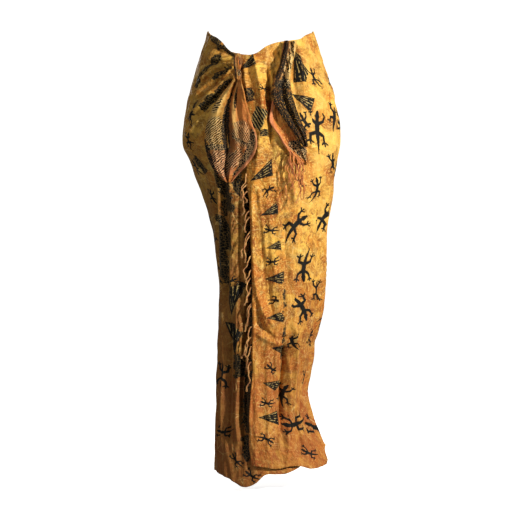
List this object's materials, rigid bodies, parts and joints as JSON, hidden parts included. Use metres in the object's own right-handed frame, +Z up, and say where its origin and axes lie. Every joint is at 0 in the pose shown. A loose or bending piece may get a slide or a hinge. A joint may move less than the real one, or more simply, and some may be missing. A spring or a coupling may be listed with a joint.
{
  "type": "sarong",
  "caption": "Ankle-length wrap sarong in printed rayon, wound round the hips, tied at the waist with hanging corner tails and a fringed front edge.",
  "frame": {"origin": "middle of the waist opening, level with the low point of the front top edge, where a wearer's waist holds the cloth", "axes": "+Z up along the wearer, -Y to the front, +X to the right as seen from the front"},
  "size_m": [0.3738, 0.2759, 1.0672],
  "materials": {
    "printed_rayon": "plain-woven rayon, dyed mottled gold and rust with a black print, soft sheen",
    "tail_rayon": "the same rayon near its bordered ends, rust and brown with fine black and cream hatching",
    "fringe_yarn": "twisted rayon yarn, light tan orange"
  },
  "bodies": {
    "root": {"inner_end": "printed_rayon", "under_front": "printed_rayon", "back_wrap": "printed_rayon", "over_front": "printed_rayon", "knot": "tail_rayon", "left_tail": "tail_rayon", "right_tail": "tail_rayon", "right_tail_folded_half": "tail_rayon", "front_edge_fringe": "fringe_yarn", "tail_fringe": "fringe_yarn"}
  },
  "joints": []
}
